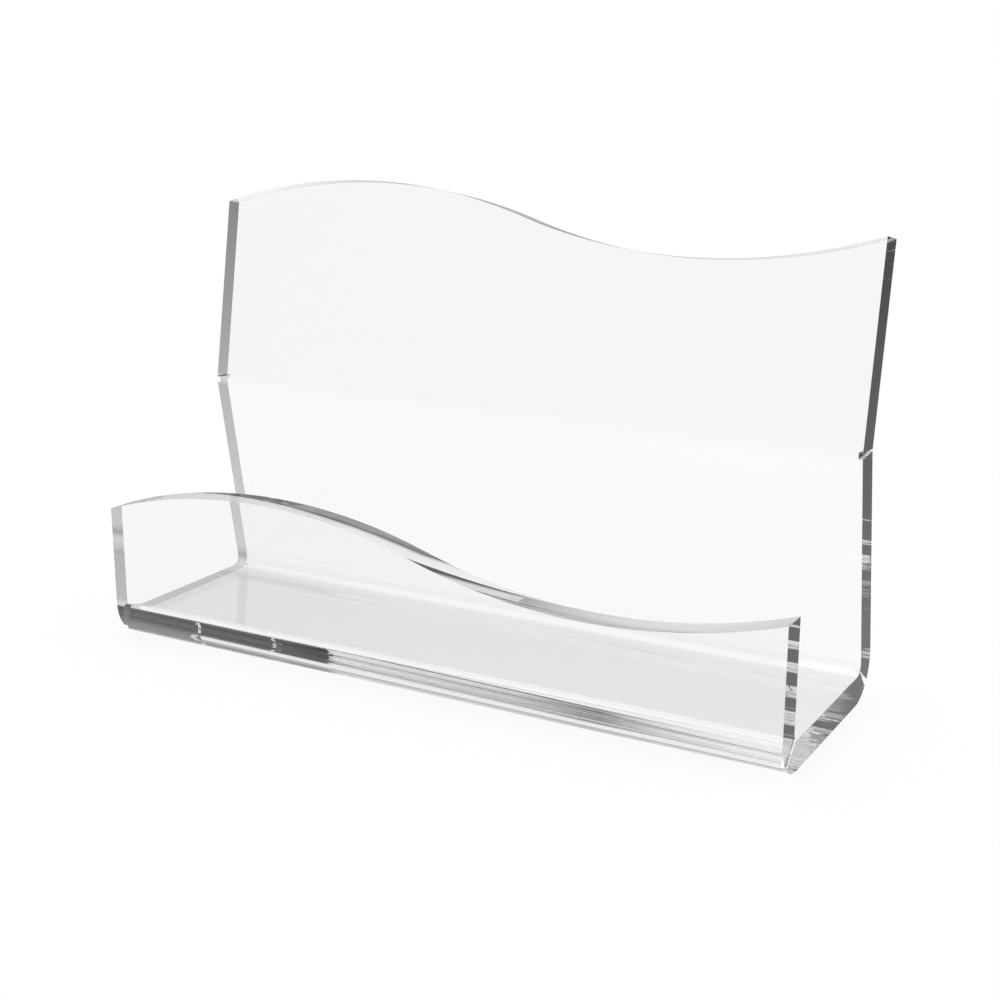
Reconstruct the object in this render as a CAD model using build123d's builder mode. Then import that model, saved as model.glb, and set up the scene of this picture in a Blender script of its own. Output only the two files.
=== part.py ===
from build123d import *
from math import cos, radians, sin, tan
import os

# Business card holder stand: one sheet of clear acrylic, cut to its outline, polished along its cut edges, then
# warmed along three lines and bent into a low lip, a flat base and a cranked back.
# Lengths are in millimetres and angles in degrees. X runs along the bends, the lip faces -Y and Z is up.
# The origin is on the resting plane, under the middle of the stand.

# The sheet
sheet_thickness = 4.0
sheet_width = 100.0
edge_break = 0.1

# The bends, all of the same tightness
bend_inner_radius = 1.4
bend_outer_radius = bend_inner_radius + sheet_thickness

# The panels, along the outer face: the lip's front, the base's underside and the back's rear.
# Each length runs between the sharp corners that the bends round off, or to a free edge at the stand's two sides.
lip_height = 19.7
base_depth = 34.5
lower_back_length = 34.55
upper_back_length = 26.05

# The lip is upright. The lower back leans in over the base, and the upper back leans away from it.
upright = 90.0
lower_back_lean = 9.8
upper_back_lean = 10.1

# Each free edge is one wave: a crest over the left half and an equal trough over the right half
wave_rise = 4.0

# A small nick at both ends of each bend line marks on the flat sheet where it is warmed.
# Bending closes a nick on the inside of the bend and opens it on the outside.
nick_depth = 0.55
front_nick_inner_width = 0.5
front_nick_outer_width = 1.0
rear_nick_inner_width = 0.12
rear_nick_outer_width = 0.9
crank_nick_inner_width = 0.25
crank_nick_outer_width = 0.9

# How far the blank and the cuts run past what they leave
overrun = 3.0
nick_overrun = 0.2

# The corners of the outer face, from the sharp corner under the lip
lower_lean = radians(lower_back_lean)
upper_lean = radians(upper_back_lean)
crank_y = base_depth - lower_back_length * sin(lower_lean)
crank_z = lower_back_length * cos(lower_lean)
lip_blank = lip_height + wave_rise + overrun
back_blank = upper_back_length + wave_rise + overrun

# How far each bend turns the sheet, and the mean lean of the two panels at the crank
front_turn = upright
rear_turn = upright + lower_back_lean
crank_turn = lower_back_lean + upper_back_lean
crank_lean = (upper_back_lean - lower_back_lean) / 2

# The two rearmost places are the crest of the back and the outside of the rear bend
crest_reach = crank_y + (upper_back_length + wave_rise - edge_break) * sin(upper_lean)
rear_setback = bend_outer_radius * tan(radians(rear_turn / 2))
bend_reach = base_depth - rear_setback + bend_outer_radius
overall_depth = max(crest_reach, bend_reach)

# Places along the stand's width and depth
half_width = sheet_width / 2
crest_x = sheet_width / 4
lip_face_y = -overall_depth / 2

# The centre that each bend turns about, in the section. The crank's lies behind the back.
front_centre = (bend_outer_radius, bend_outer_radius, 0)
rear_centre = (base_depth - rear_setback, bend_outer_radius, 0)
crank_reach = bend_inner_radius / cos(radians(crank_turn / 2))
crank_centre = (
    crank_y + crank_reach * cos(radians(crank_lean)),
    crank_z - crank_reach * sin(radians(crank_lean)),
    0,
)

# Each nick runs from its bend's centre outwards through the middle of the bend
nicks = (
    (Location(front_centre, (0, 0, -upright - front_turn / 2)), front_nick_inner_width, front_nick_outer_width),
    (Location(rear_centre, (0, 0, rear_turn / 2 - upright)), rear_nick_inner_width, rear_nick_outer_width),
    (Location(crank_centre, (0, 0, 2 * upright - crank_lean)), crank_nick_inner_width, crank_nick_outer_width),
)

# The section is drawn at the left side, the waves on the outer faces that they cut
section_plane = Plane(origin=(-half_width, lip_face_y, 0), x_dir=(0, 1, 0), z_dir=(1, 0, 0))
lip_plane = Plane(origin=(0, lip_face_y, 0), x_dir=(1, 0, 0), z_dir=(0, -1, 0))
back_plane = Plane(
    origin=(0, lip_face_y + crank_y, crank_z),
    x_dir=(1, 0, 0),
    z_dir=(0, -cos(upper_lean), sin(upper_lean)),
)

with BuildPart() as bent_sheet:
    # The bent blank: the outer face from lip to back, with one thickness of sheet laid inside it
    with BuildSketch(section_plane):
        with BuildLine():
            FilletPolyline(
                (0, lip_blank),
                (0, 0),
                (base_depth, 0),
                (crank_y, crank_z),
                (crank_y + back_blank * sin(upper_lean), crank_z + back_blank * cos(upper_lean)),
                radius=[bend_outer_radius, bend_outer_radius, bend_inner_radius],
            )
            offset(amount=sheet_thickness, side=Side.LEFT)
        make_face()
    extrude(amount=sheet_width)

    # The wave along each free edge, cut square through its panel: two equal arcs that run smoothly together
    for panel_plane, edge_height in ((lip_plane, lip_height), (back_plane, upper_back_length)):
        cut_top = edge_height + wave_rise + 2 * overrun
        with BuildSketch(panel_plane):
            with BuildLine():
                ThreePointArc((-half_width, edge_height), (-crest_x, edge_height + wave_rise), (0, edge_height))
                ThreePointArc((0, edge_height), (crest_x, edge_height - wave_rise), (half_width, edge_height))
                Polyline(
                    (half_width, edge_height),
                    (half_width + overrun, edge_height),
                    (half_width + overrun, cut_top),
                    (-half_width - overrun, cut_top),
                    (-half_width - overrun, edge_height),
                    (-half_width, edge_height),
                )
            make_face()
        extrude(amount=sheet_thickness + overrun, both=True, mode=Mode.SUBTRACT)

    # Polishing breaks the sharp rims of the cut edges, on both faces of the sheet and all the way round
    side_faces = bent_sheet.faces().filter_by(Axis.X)
    wave_faces = bent_sheet.faces().filter_by(
        lambda face: face.geom_type == GeomType.CYLINDER and not face.axis_of_rotation.is_parallel(Axis.X)
    )
    corners = wave_faces.edges().filter_by(GeomType.LINE)
    rims = [edge for edge in side_faces.edges() + wave_faces.edges() if edge not in corners]
    chamfer(rims, length=edge_break)

    # The nicks: a wedge through the middle of each bend, cut in from both sides of the stand
    for nick_plane in (section_plane, section_plane.offset(sheet_width - nick_depth)):
        with BuildSketch(nick_plane):
            for bend, inner_width, outer_width in nicks:
                flare = nick_overrun * (outer_width - inner_width) / sheet_thickness
                with Locations(bend):
                    Polygon(
                        (bend_inner_radius - nick_overrun, (inner_width - flare) / 2),
                        (bend_inner_radius - nick_overrun, (flare - inner_width) / 2),
                        (bend_outer_radius + nick_overrun, (-outer_width - flare) / 2),
                        (bend_outer_radius + nick_overrun, (outer_width + flare) / 2),
                        align=None,
                    )
        extrude(amount=nick_depth, mode=Mode.SUBTRACT)

bent_sheet.part.label = "bent_sheet"

os.makedirs("parts", exist_ok=True)
export_step(bent_sheet.part, "parts/bent_sheet.step")
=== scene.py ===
# %% [markdown]
# A clear acrylic business card stand
#
# The real stand is one sheet of clear acrylic. It is cut to its outline, polished along the cut edges,
# warmed along three lines and bent into a low lip, a flat base and a back that is cranked half way up.
# The measured model is loaded first, and everything below is placed by it.

# %% Load the measured model
from math import atan2, cos, pi, radians, sin, sqrt, tan

import bmesh
import bpy
from mathutils import Matrix, Vector


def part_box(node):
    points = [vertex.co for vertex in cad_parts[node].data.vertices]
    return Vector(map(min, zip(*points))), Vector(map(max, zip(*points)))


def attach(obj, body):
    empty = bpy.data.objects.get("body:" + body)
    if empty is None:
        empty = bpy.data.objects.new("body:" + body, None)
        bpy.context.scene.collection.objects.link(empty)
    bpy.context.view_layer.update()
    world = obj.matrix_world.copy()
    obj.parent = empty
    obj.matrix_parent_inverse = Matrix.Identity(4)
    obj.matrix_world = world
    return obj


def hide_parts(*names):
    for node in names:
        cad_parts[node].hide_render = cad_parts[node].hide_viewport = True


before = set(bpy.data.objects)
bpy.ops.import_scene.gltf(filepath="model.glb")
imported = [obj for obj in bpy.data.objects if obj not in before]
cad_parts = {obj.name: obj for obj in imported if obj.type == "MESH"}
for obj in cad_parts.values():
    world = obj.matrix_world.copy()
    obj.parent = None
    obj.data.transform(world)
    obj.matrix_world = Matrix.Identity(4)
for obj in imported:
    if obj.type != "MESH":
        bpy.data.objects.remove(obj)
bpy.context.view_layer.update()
sheet_low, sheet_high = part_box("bent_sheet")

# %% [markdown]
# The model's box gives the sheet's width and the place of the lip. What lies inside that box is told by a
# few sizes: how thick the sheet is, how tight its bends are, how long each panel is along its outer face,
# and how far it leans. Blender works in metres, so millimetres are turned into metres here.

# %% Sizes of the sheet
MM = 0.001
thickness = 4.0 * MM
inner_radius = 1.4 * MM
outer_radius = inner_radius + thickness
lip_height = 19.7 * MM
base_depth = 34.5 * MM
lower_back = 34.55 * MM
upper_back = 26.05 * MM
lower_lean = radians(9.8)
upper_lean = radians(10.1)
width = sheet_high.x - sheet_low.x
front_y = sheet_low.y
print("width, mm:", round(width / MM, 2), "lip's face at y, mm:", round(front_y / MM, 2))

# %% [markdown]
# The sheet starts as its outer face: a flat strip that is the underside of the base, between two bends.
# A plain plane would do for the base, but the free edges become waves later. So the strip is a grid with
# many columns, and each column will end at one step of the wave.

# %% The underside of the base
columns = 160
rear_turn = pi / 2 + lower_lean
rear_setback = outer_radius * tan(rear_turn / 2)
base_start = front_y + outer_radius
base_end = front_y + base_depth - rear_setback

bpy.ops.object.select_all(action="DESELECT")
bpy.ops.mesh.primitive_grid_add(x_subdivisions=columns, y_subdivisions=1, size=1)
sheet = bpy.context.object
sheet.name = sheet.data.name = "clear_sheet"
bpy.ops.object.mode_set(mode="EDIT")
bpy.ops.mesh.select_mode(type="VERT")
bpy.ops.transform.resize(value=(width, base_end - base_start, 1))
bpy.ops.transform.translate(value=(0, (base_start + base_end) / 2, 0))
print("base points:", len(sheet.data.vertices), "depth, mm:", round((base_end - base_start) / MM, 2))

# %% [markdown]
# By hand you would click the edge that goes on into the lip. A script can't click, and the numbers of the
# points change as the mesh grows, so it picks points by where they are: everything is deselected, and the
# points that pass a test are selected.

# %% The front edge, picked by its place
NEAR = 0.01 * MM


def select_points(test):
    """In edit mode, selects the points whose place passes the test; gives how many there are."""
    bpy.ops.mesh.select_all(action="DESELECT")
    mesh = bmesh.from_edit_mesh(bpy.context.object.data)
    for point in mesh.verts:
        point.select = test(point.co)
    mesh.select_flush(True)
    bmesh.update_edit_mesh(bpy.context.object.data)
    return sum(point.select for point in mesh.verts)


print("points on the front edge:", select_points(lambda p: abs(p.y - base_start) < NEAR))

# %% [markdown]
# The lip keeps the cards from sliding off. A line bend is an arc about an axis along the sheet. A Simple
# Deform modifier could roll up a flat strip, but it is hard to hold to one bend. Spin makes a true arc: it
# turns the strip's last edge about the axis in small steps. The straight panel after it is an extrusion, in
# the direction in which the bend leaves the sheet.

# %% The lip, bent up at the front
bend_steps = 36
front_centre = Vector((0, base_start, outer_radius))


def selected_place():
    """The place of one selected point in edit mode."""
    mesh = bmesh.from_edit_mesh(bpy.context.object.data)
    return next(point.co.copy() for point in mesh.verts if point.select)


bpy.ops.mesh.spin(steps=bend_steps, angle=pi / 2, center=front_centre, axis=(1, 0, 0))
bpy.ops.mesh.extrude_region_move(TRANSFORM_OT_translate={"value": (0, 0, lip_height - outer_radius)})
lip_end = selected_place()
print("lip's free edge, mm: y", round(lip_end.y / MM, 2), "z", round(lip_end.z / MM, 2))

# %% [markdown]
# The back leans in over the base first, and above the crank it leans away, so that the cards are easy to
# take. It is made as the lip was, with two bends. The crank turns the other way, so its axis lies behind
# the sheet, and the outer face has the smaller radius there.

# %% The back, bent up at the rear and cranked half way
crank_turn = lower_lean + upper_lean
crank_setback = inner_radius * tan(crank_turn / 2)
up_lower = Vector((0, -sin(lower_lean), cos(lower_lean)))
up_upper = Vector((0, sin(upper_lean), cos(upper_lean)))
behind_lower = Vector((0, cos(lower_lean), sin(lower_lean)))
lower_panel = up_lower * (lower_back - rear_setback - crank_setback)
upper_panel = up_upper * (upper_back - crank_setback)

rear_centre = Vector((0, base_end, outer_radius))
select_points(lambda p: abs(p.y - base_end) < NEAR and abs(p.z) < NEAR)
bpy.ops.mesh.spin(steps=bend_steps, angle=-rear_turn, center=rear_centre, axis=(1, 0, 0))
bpy.ops.mesh.extrude_region_move(TRANSFORM_OT_translate={"value": lower_panel})
below_crank = selected_place()
crank_centre = Vector((0, below_crank.y, below_crank.z)) + behind_lower * inner_radius
bpy.ops.mesh.spin(steps=bend_steps, angle=crank_turn, center=crank_centre, axis=(1, 0, 0))
bpy.ops.mesh.extrude_region_move(TRANSFORM_OT_translate={"value": upper_panel})
back_end = selected_place()
print("back's free edge, mm: y", round(back_end.y / MM, 2), "z", round(back_end.z / MM, 2))

# %% [markdown]
# Both free edges are cut in the same wave: a crest on the left and an equal trough on the right, each a
# circular arc. A saw would follow a drawn line, and a Boolean could do the same. Here each point of a free
# edge slides along its own panel to the height of the wave, which leaves the columns straight. The measured
# model loses 0.1 mm to polishing at its highest place, the back's crest, so that crest is lower here too.

# %% The waves along the free edges
wave_rise = 4.0 * MM
polished_off = 0.1 * MM
quarter_width = width / 4
wave_radius = (quarter_width**2 + wave_rise**2) / (2 * wave_rise)


def wave(x):
    """How far the wave stands above the ends of the free edge, at x."""
    side = -1 if x > 0 else 1
    from_crest = abs(abs(x) - quarter_width)
    return side * (sqrt(wave_radius**2 - from_crest**2) - (wave_radius - wave_rise))


def cut_wave(end, along, crest):
    """Slides the free edge that passes through end along its panel, to a wave with that crest."""
    mesh = bmesh.from_edit_mesh(bpy.context.object.data)
    points = [p for p in mesh.verts if abs(p.co.y - end.y) < NEAR and abs(p.co.z - end.z) < NEAR]
    for point in points:
        rise = wave(point.co.x)
        point.co += along * (rise * crest / wave_rise if rise > 0 else rise)
    bmesh.update_edit_mesh(bpy.context.object.data)
    return len(points)


lip_points = cut_wave(lip_end, Vector((0, 0, 1)), wave_rise)
back_points = cut_wave(back_end, up_upper, wave_rise - polished_off)
print("points moved on the lip:", lip_points, "and on the back:", back_points)
bpy.ops.mesh.select_all(action="SELECT")
bpy.ops.mesh.remove_doubles(threshold=NEAR)
bpy.ops.mesh.normals_make_consistent(inside=False)
bpy.ops.object.mode_set(mode="OBJECT")

# %% [markdown]
# So far the sheet has no thickness. Extruding it in one direction would leave its panels unequal. Solidify
# gives them all one thickness, on the inside of the bends, and a very small bevel breaks the sharp rims as
# polishing does. The sheet has two material slots: the first for its two smooth faces, the second for its
# cut edges, where both modifiers put the narrow faces that they make.

# %% Thickness and broken rims
EDGES = 1
edge_break = 0.012 * MM
rim_angle = radians(60)

bpy.ops.object.material_slot_add()
bpy.ops.object.material_slot_add()
solid = sheet.modifiers.new("thickness", "SOLIDIFY")
solid.thickness = thickness
solid.offset = -1
solid.use_even_offset = True
solid.material_offset_rim = EDGES
bpy.ops.object.modifier_apply(modifier=solid.name)
rims = sheet.modifiers.new("broken_rims", "BEVEL")
rims.width = edge_break
rims.segments = 1
rims.limit_method = "ANGLE"
rims.angle_limit = rim_angle
rims.material = EDGES
bpy.ops.object.modifier_apply(modifier=rims.name)
edge_faces = sum(face.material_index for face in sheet.data.polygons)
print("faces:", len(sheet.data.polygons), "on the edges:", edge_faces)

# %% [markdown]
# A small nick at both ends of each bend line marked on the flat sheet where to warm it. Bending closed each
# nick on the inside of the bend and opened it on the outside, so it is a wedge now. One wedge is a cube
# that is squeezed at its inner end, turned to point outwards through the middle of its bend, and moved to
# the end of the bend line.

# %% A wedge for each nick
nick_depth = 0.55 * MM
nick_overrun = 0.2 * MM
crank_lean = (upper_lean - lower_lean) / 2
front_out = Vector((0, -1, -1))
rear_out = Vector((0, sin(rear_turn / 2), -cos(rear_turn / 2)))
crank_out = Vector((0, -cos(crank_lean), sin(crank_lean)))
nicks = (
    # the bend's centre, the way out through its middle, the nick's width inside and outside
    (front_centre, front_out, 0.5 * MM, 1.0 * MM),
    (rear_centre, rear_out, 0.12 * MM, 0.9 * MM),
    (crank_centre, crank_out, 0.25 * MM, 0.9 * MM),
)


def nick_wedge(end_x, centre, outwards, inner_width, outer_width):
    """A wedge through the middle of a bend, at the end of its bend line."""
    length = thickness + 2 * nick_overrun
    flare = nick_overrun * (outer_width - inner_width) / thickness
    bpy.ops.object.select_all(action="DESELECT")
    bpy.ops.mesh.primitive_cube_add(size=1)
    wedge = bpy.context.object
    bpy.ops.object.mode_set(mode="EDIT")
    bpy.ops.mesh.select_all(action="SELECT")
    bpy.ops.transform.resize(value=(2 * nick_depth, length, outer_width + flare))
    select_points(lambda p: p.y < 0)
    bpy.ops.transform.resize(value=(1, 1, (inner_width - flare) / (outer_width + flare)))
    bpy.ops.object.mode_set(mode="OBJECT")
    wedge.rotation_euler.x = atan2(outwards.z, outwards.y)
    wedge.location = centre + outwards.normalized() * (inner_radius + thickness / 2)
    wedge.location.x = end_x
    bpy.ops.object.transform_apply(location=True, rotation=True, scale=True)
    bpy.ops.object.material_slot_add()
    bpy.ops.object.material_slot_add()
    for face in wedge.data.polygons:
        face.material_index = EDGES
    return wedge


wedges = [nick_wedge(end_x, *nick) for nick in nicks for end_x in (-width / 2, width / 2)]
print("wedges:", len(wedges))

# %% [markdown]
# The nicks could be cut one after the other. Here the six wedges are joined, and a single Boolean cuts them
# all out of the sheet, after which the wedges are thrown away.

# %% The nicks at the ends of the bend lines
for wedge in wedges:
    wedge.select_set(True)
bpy.ops.object.join()
cutter = bpy.context.object

bpy.ops.object.select_all(action="DESELECT")
sheet.select_set(True)
bpy.context.view_layer.objects.active = sheet
cut = sheet.modifiers.new("nicks", "BOOLEAN")
cut.operation = "DIFFERENCE"
cut.solver = "EXACT"
cut.material_mode = "INDEX"
cut.object = cutter
bpy.ops.object.modifier_apply(modifier=cut.name)
bpy.data.objects.remove(cutter)
print("faces after the nicks:", len(sheet.data.polygons))

# %% [markdown]
# Light bends at every face of clear plastic, so the shading must be smooth round the bends and flat on the
# panels. Smoothing everything would round the panels off at their rims. So shading is smoothed only where
# faces meet at a small angle, and weighted normals let the large flat faces win.

# %% Smooth bends and flat panels
smooth_angle = radians(20)
largest_wins = 100

bpy.ops.object.shade_smooth_by_angle(angle=smooth_angle)
normals = sheet.modifiers.new("flat_panels", "WEIGHTED_NORMAL")
normals.keep_sharp = True
normals.weight = largest_wins
bpy.ops.object.modifier_apply(modifier=normals.name)
corners = [[limit(p.co[k] for p in sheet.data.vertices) for k in range(3)] for limit in (min, max)]
print("sheet's box, mm:", [[round(c / MM, 3) for c in corner] for corner in corners])

# %% [markdown]
# Acrylic is clear, but it isn't perfect. Its faces have faint handling smears, and its cut edges keep fine
# lines from buffing. Both are the same effect at another scale: a noise that makes some places a little
# less glossy. So it is one node group, placed in both materials with its own values.

# %% The polish that both finishes share
noise_detail = 4
# the part of the noise's range over which glossy turns to dull
dull_from = 0.35
dull_to = 0.7

polish = bpy.data.node_groups.new("polish_marks", "ShaderNodeTree")
for name in ("Scale", "Least", "Most"):
    polish.interface.new_socket(name, in_out="INPUT", socket_type="NodeSocketFloat")
polish.interface.new_socket("Stretch", in_out="INPUT", socket_type="NodeSocketVector")
polish.interface.new_socket("Roughness", in_out="OUTPUT", socket_type="NodeSocketFloat")
given = polish.nodes.new("NodeGroupInput")
result = polish.nodes.new("NodeGroupOutput")
place = polish.nodes.new("ShaderNodeTexCoord")
stretched = polish.nodes.new("ShaderNodeVectorMath")
stretched.operation = "MULTIPLY"
marks = polish.nodes.new("ShaderNodeTexNoise")
marks.inputs["Detail"].default_value = noise_detail
spread = polish.nodes.new("ShaderNodeMapRange")
spread.inputs["From Min"].default_value = dull_from
spread.inputs["From Max"].default_value = dull_to
polish.links.new(place.outputs["Object"], stretched.inputs[0])
polish.links.new(given.outputs["Stretch"], stretched.inputs[1])
polish.links.new(stretched.outputs["Vector"], marks.inputs["Vector"])
polish.links.new(given.outputs["Scale"], marks.inputs["Scale"])
polish.links.new(marks.outputs["Fac"], spread.inputs["Value"])
polish.links.new(given.outputs["Least"], spread.inputs["To Min"])
polish.links.new(given.outputs["Most"], spread.inputs["To Max"])
polish.links.new(spread.outputs["Result"], result.inputs["Roughness"])
print("polish group:", [item.name for item in polish.interface.items_tree])

# %% [markdown]
# Clear plastic is a Principled shader that transmits all its light. Acrylic bends light with an index of
# 1.49, and it takes a little of the light on its way, which is why the edges, where light has come a long
# way, look darker. A tint on the surface couldn't know how far the light has come. A volume absorption
# inside the sheet does, and it needs only a plain colour and density.

# %% The two finishes of the acrylic
acrylic_index = 1.49
absorption_grey = 0.9
absorption_density = 55.0
finishes = (
    # name, scale of the polish marks, their stretch, least and most roughness
    ("clear_faces", 60, (1, 1, 1), 0, 0.004),
    ("polished_edges", 900, (1, 0.3, 0.3), 0, 0.008),
)


def acrylic(name, scale, stretch, least, most):
    """Clear acrylic with polish marks of that scale, stretch and range of roughness."""
    material = bpy.data.materials.new(name)
    material.use_nodes = True
    nodes, links = material.node_tree.nodes, material.node_tree.links
    shader = nodes["Principled BSDF"]
    shader.inputs["Base Color"].default_value = (1, 1, 1, 1)
    shader.inputs["IOR"].default_value = acrylic_index
    shader.inputs["Transmission Weight"].default_value = 1
    surface = nodes.new("ShaderNodeGroup")
    surface.node_tree = polish
    for socket, value in (("Scale", scale), ("Stretch", stretch), ("Least", least), ("Most", most)):
        surface.inputs[socket].default_value = value
    links.new(surface.outputs["Roughness"], shader.inputs["Roughness"])
    inside = nodes.new("ShaderNodeVolumeAbsorption")
    inside.inputs["Color"].default_value = (absorption_grey, absorption_grey, absorption_grey, 1)
    inside.inputs["Density"].default_value = absorption_density
    links.new(inside.outputs["Volume"], nodes["Material Output"].inputs["Volume"])
    return material


for slot, finish in zip(sheet.material_slots, finishes):
    slot.material = acrylic(*finish)
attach(sheet, "root")
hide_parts("bent_sheet")
print("finishes:", [slot.material.name for slot in sheet.material_slots])

# %% [markdown]
# The floor is a matt sheet of card. It lies a hair below the stand, because two faces in one place would
# flicker. White card would be the simple choice, but it would throw its light back into the clear sheet.
# This card reflects little, so the stand's shadow on it is faint, and the next step lifts it to white for
# the eye alone.

# %% The floor
floor_gap = 0.1 * MM
floor_side = 8.0
card = 0.15

bpy.ops.object.select_all(action="DESELECT")
bpy.ops.mesh.primitive_plane_add(size=floor_side)
floor = bpy.context.object
floor.name = floor.data.name = "floor"
floor.location.z = -floor_gap
floor_material = bpy.data.materials.new("pale_card")
floor_material.use_nodes = True
tree = floor_material.node_tree
shader = tree.nodes["Principled BSDF"]
shader.inputs["Base Color"].default_value = (card, card, card, 1)
shader.inputs["Roughness"].default_value = 1
shader.inputs["Specular IOR Level"].default_value = 0
shader.inputs["Emission Color"].default_value = (1, 1, 1, 1)
floor.data.materials.append(floor_material)
print("floor:", floor.name, "side, m:", floor_side)

# %% [markdown]
# The card is white where the camera looks at it, straight on or through the acrylic. If it were as white
# for light that the acrylic has turned round, the edges on the left would vanish on it. So the card lets
# such light pass, and it meets the studio alone. Light Path tells the two apart, because each turn at a
# face counts as a glossy bounce.

# %% White card for straight light only
card_lift = 0.853


def math_node(tree, operation, first, second):
    """A math node between two sockets or plain numbers; gives its output socket."""
    node = tree.nodes.new("ShaderNodeMath")
    node.operation = operation
    for k, value in enumerate((first, second)):
        if isinstance(value, (int, float)):
            node.inputs[k].default_value = value
        else:
            tree.links.new(value, node.inputs[k])
    return node.outputs["Value"]


def turned_round(tree, path):
    """1 for light that a face has turned round, 0 for light that came straight."""
    return math_node(tree, "MINIMUM", path.outputs["Glossy Depth"], 1)


path = tree.nodes.new("ShaderNodeLightPath")
seen = math_node(tree, "MAXIMUM", path.outputs["Is Camera Ray"], path.outputs["Is Transmission Ray"])
tree.links.new(math_node(tree, "MULTIPLY", seen, card_lift), shader.inputs["Emission Strength"])
let_pass = tree.nodes.new("ShaderNodeBsdfTransparent")
choice = tree.nodes.new("ShaderNodeMixShader")
tree.links.new(turned_round(tree, path), choice.inputs["Fac"])
tree.links.new(shader.outputs["BSDF"], choice.inputs[1])
tree.links.new(let_pass.outputs["BSDF"], choice.inputs[2])
tree.links.new(choice.outputs["Shader"], tree.nodes["Material Output"].inputs["Surface"])
print("card, level seen:", round(card + card_lift, 3))

# %% [markdown]
# The studio is soft and plain. It could be built of boards and lamps. It is drawn in the world instead, by
# direction alone, so that nothing stands in the way of the camera from any side.

# %% The studio
world = bpy.data.worlds.new("studio")
bpy.context.scene.world = world
world.use_nodes = True
# Blender can aim light by a map of the world, but here the world depends on how the light came
world.cycles.sampling_method = "NONE"
studio_tree = world.node_tree
place = studio_tree.nodes.new("ShaderNodeTexCoord")
direction = studio_tree.nodes.new("ShaderNodeSeparateXYZ")
studio_tree.links.new(place.outputs["Generated"], direction.inputs[0])
print("studio:", world.name, "directions:", [output.name for output in direction.outputs])

# %% [markdown]
# The walls are dim, darker on the right and in front, and each runs softly into a pale ground. These
# differences draw the edges and bends of a clear object, as dark and white boards beside a glass do. One
# even grey would be simpler, but then every edge would look alike.

# %% The walls and the ground
# the level of a wall, the level of the ground below it, and how far down the one becomes the other
right_side = (0.2, 0.72, 0.38)
left_side = (0.49, 1.0, 0.5)
front_side = (0.22, 0.64, 0.5)
# where one side begins to run into the next, and where it has become the next
right_to_left = (0.3, -0.3)
side_to_front = (-0.45, -0.75)


def ramp(value, start, end, low, high):
    """A soft change from low to high while the value goes from start to end; gives its output socket."""
    node = studio_tree.nodes.new("ShaderNodeMapRange")
    node.interpolation_type = "SMOOTHSTEP"
    studio_tree.links.new(value, node.inputs["Value"])
    for name, number in (("From Min", start), ("From Max", end), ("To Min", low), ("To Max", high)):
        node.inputs[name].default_value = number
    return node.outputs["Result"]


def wall(level, ground, depth):
    """One side of the studio: a wall of that level that runs into the ground below it."""
    return ramp(direction.outputs["Z"], 0, -depth, level, ground)


def blend(factor, first, second):
    """A mix of two sockets by a third one; gives its output socket."""
    node = studio_tree.nodes.new("ShaderNodeMix")
    for name, socket in (("Factor", factor), ("A", first), ("B", second)):
        studio_tree.links.new(socket, node.inputs[name])
    return node.outputs["Result"]


to_left = ramp(direction.outputs["X"], *right_to_left, 0, 1)
to_front = ramp(direction.outputs["Y"], *side_to_front, 0, 1)
studio = blend(to_left, wall(*right_side), wall(*left_side))
studio = blend(to_front, studio, wall(*front_side))
print("studio nodes with the walls:", len(studio_tree.nodes))

# %% [markdown]
# A few soft boxes hang above the stand. Area lamps would light the floor as well. A round patch in the
# world is seen by the acrylic alone, as the walls are: it is bright where the direction is near the box's
# own, and it fades towards its rim.

# %% The soft boxes
soft_boxes = (
    # azimuth from +X towards +Y, elevation, radius at full strength, radius at its soft rim, strength
    (180, 75, 18, 34, 0.85),
    (180, 80, 8, 13, 0.4),
    (112, 47, 18, 23, 0.65),
    (240, 50, 16, 21, 0.65),
)


def soft_box(azimuth, elevation, inner, outer, strength):
    """A round light with a soft rim, its angles in degrees; gives its brightness."""
    turn, rise = radians(azimuth), radians(elevation)
    nearness = studio_tree.nodes.new("ShaderNodeVectorMath")
    nearness.operation = "DOT_PRODUCT"
    studio_tree.links.new(place.outputs["Generated"], nearness.inputs[0])
    nearness.inputs[1].default_value = (cos(rise) * cos(turn), cos(rise) * sin(turn), sin(rise))
    return ramp(nearness.outputs["Value"], cos(radians(outer)), cos(radians(inner)), 0, strength)


for box in soft_boxes:
    studio = math_node(studio_tree, "ADD", studio, soft_box(*box))
print("soft boxes:", len(soft_boxes))

# %% [markdown]
# Straight ahead, and through the acrylic, there is only white backdrop, and the same white lights the floor
# evenly. A white board could stand behind the stand, but it would show in the other views. So the world has
# a level of 1 for straight light, and it shows the studio only to light that was turned round.

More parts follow.
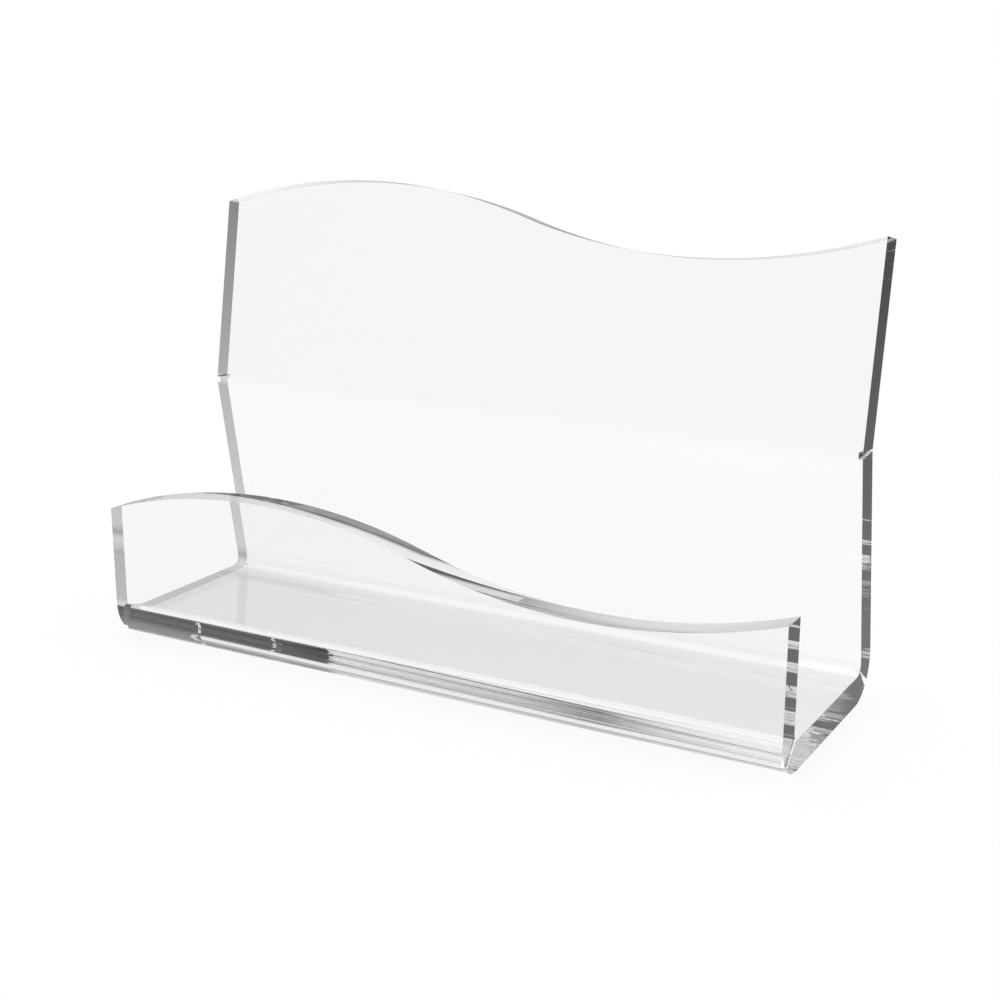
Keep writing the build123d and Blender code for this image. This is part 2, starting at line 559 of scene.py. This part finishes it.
# %% White straight ahead
background = studio_tree.nodes["Background"]
background.inputs["Color"].default_value = (1, 1, 1, 1)
path = studio_tree.nodes.new("ShaderNodeLightPath")
straight = math_node(studio_tree, "SUBTRACT", 1, turned_round(studio_tree, path))
straight = math_node(studio_tree, "MAXIMUM", straight, path.outputs["Is Diffuse Ray"])
turned = math_node(studio_tree, "SUBTRACT", 1, straight)
strength = math_node(studio_tree, "MULTIPLY", turned, studio)
strength = math_node(studio_tree, "ADD", straight, strength)
studio_tree.links.new(strength, background.inputs["Strength"])
print("studio nodes with the backdrop:", len(studio_tree.nodes))

# %% [markdown]
# The camera looks down on the stand from the front right. Its place could be found by trying. Here it comes
# from the stand's corners as they lie in the picture, which fix its place, its three angles and its lens.

# %% The camera
camera_place = Vector((105.52 * MM, front_y - 164.88 * MM, 80.81 * MM))
camera_turn = radians(29.364)
camera_fall = radians(15.254)
camera_roll = radians(0.078)

camera_data = bpy.data.cameras.new("camera")
camera = bpy.data.objects.new("camera", camera_data)
bpy.context.scene.collection.objects.link(camera)
bpy.context.scene.camera = camera
camera_data.sensor_width = 36
camera_data.lens = 58.27
camera_data.shift_x = 0.0013
camera_data.shift_y = 0.0011
camera_data.clip_start = 10 * MM
camera.matrix_world = (
    Matrix.Translation(camera_place)
    @ Matrix.Rotation(camera_turn, 4, "Z")
    @ Matrix.Rotation(pi / 2 - camera_fall, 4, "X")
    @ Matrix.Rotation(camera_roll, 4, "Z")
)
print("camera at, mm:", [round(c / MM, 1) for c in camera_place])

# %% [markdown]
# A clear sheet guides light along itself by many turns at its faces. Blender stops following light after a
# set number of them, and what is still inside then is left dark. The usual numbers are too low for a sheet
# that is seen through its edges, so they are raised. Blender can also blur light paths to save time, which
# would make the acrylic dull, so that is off. The Standard view keeps colours as they are written.

# %% Light paths and view
scene = bpy.context.scene
scene.view_settings.view_transform = "Standard"
scene.cycles.blur_glossy = 0
scene.cycles.glossy_bounces = 13
scene.cycles.transmission_bounces = 16
scene.cycles.max_bounces = 24
print("turns inside the acrylic, at most:", scene.cycles.glossy_bounces)
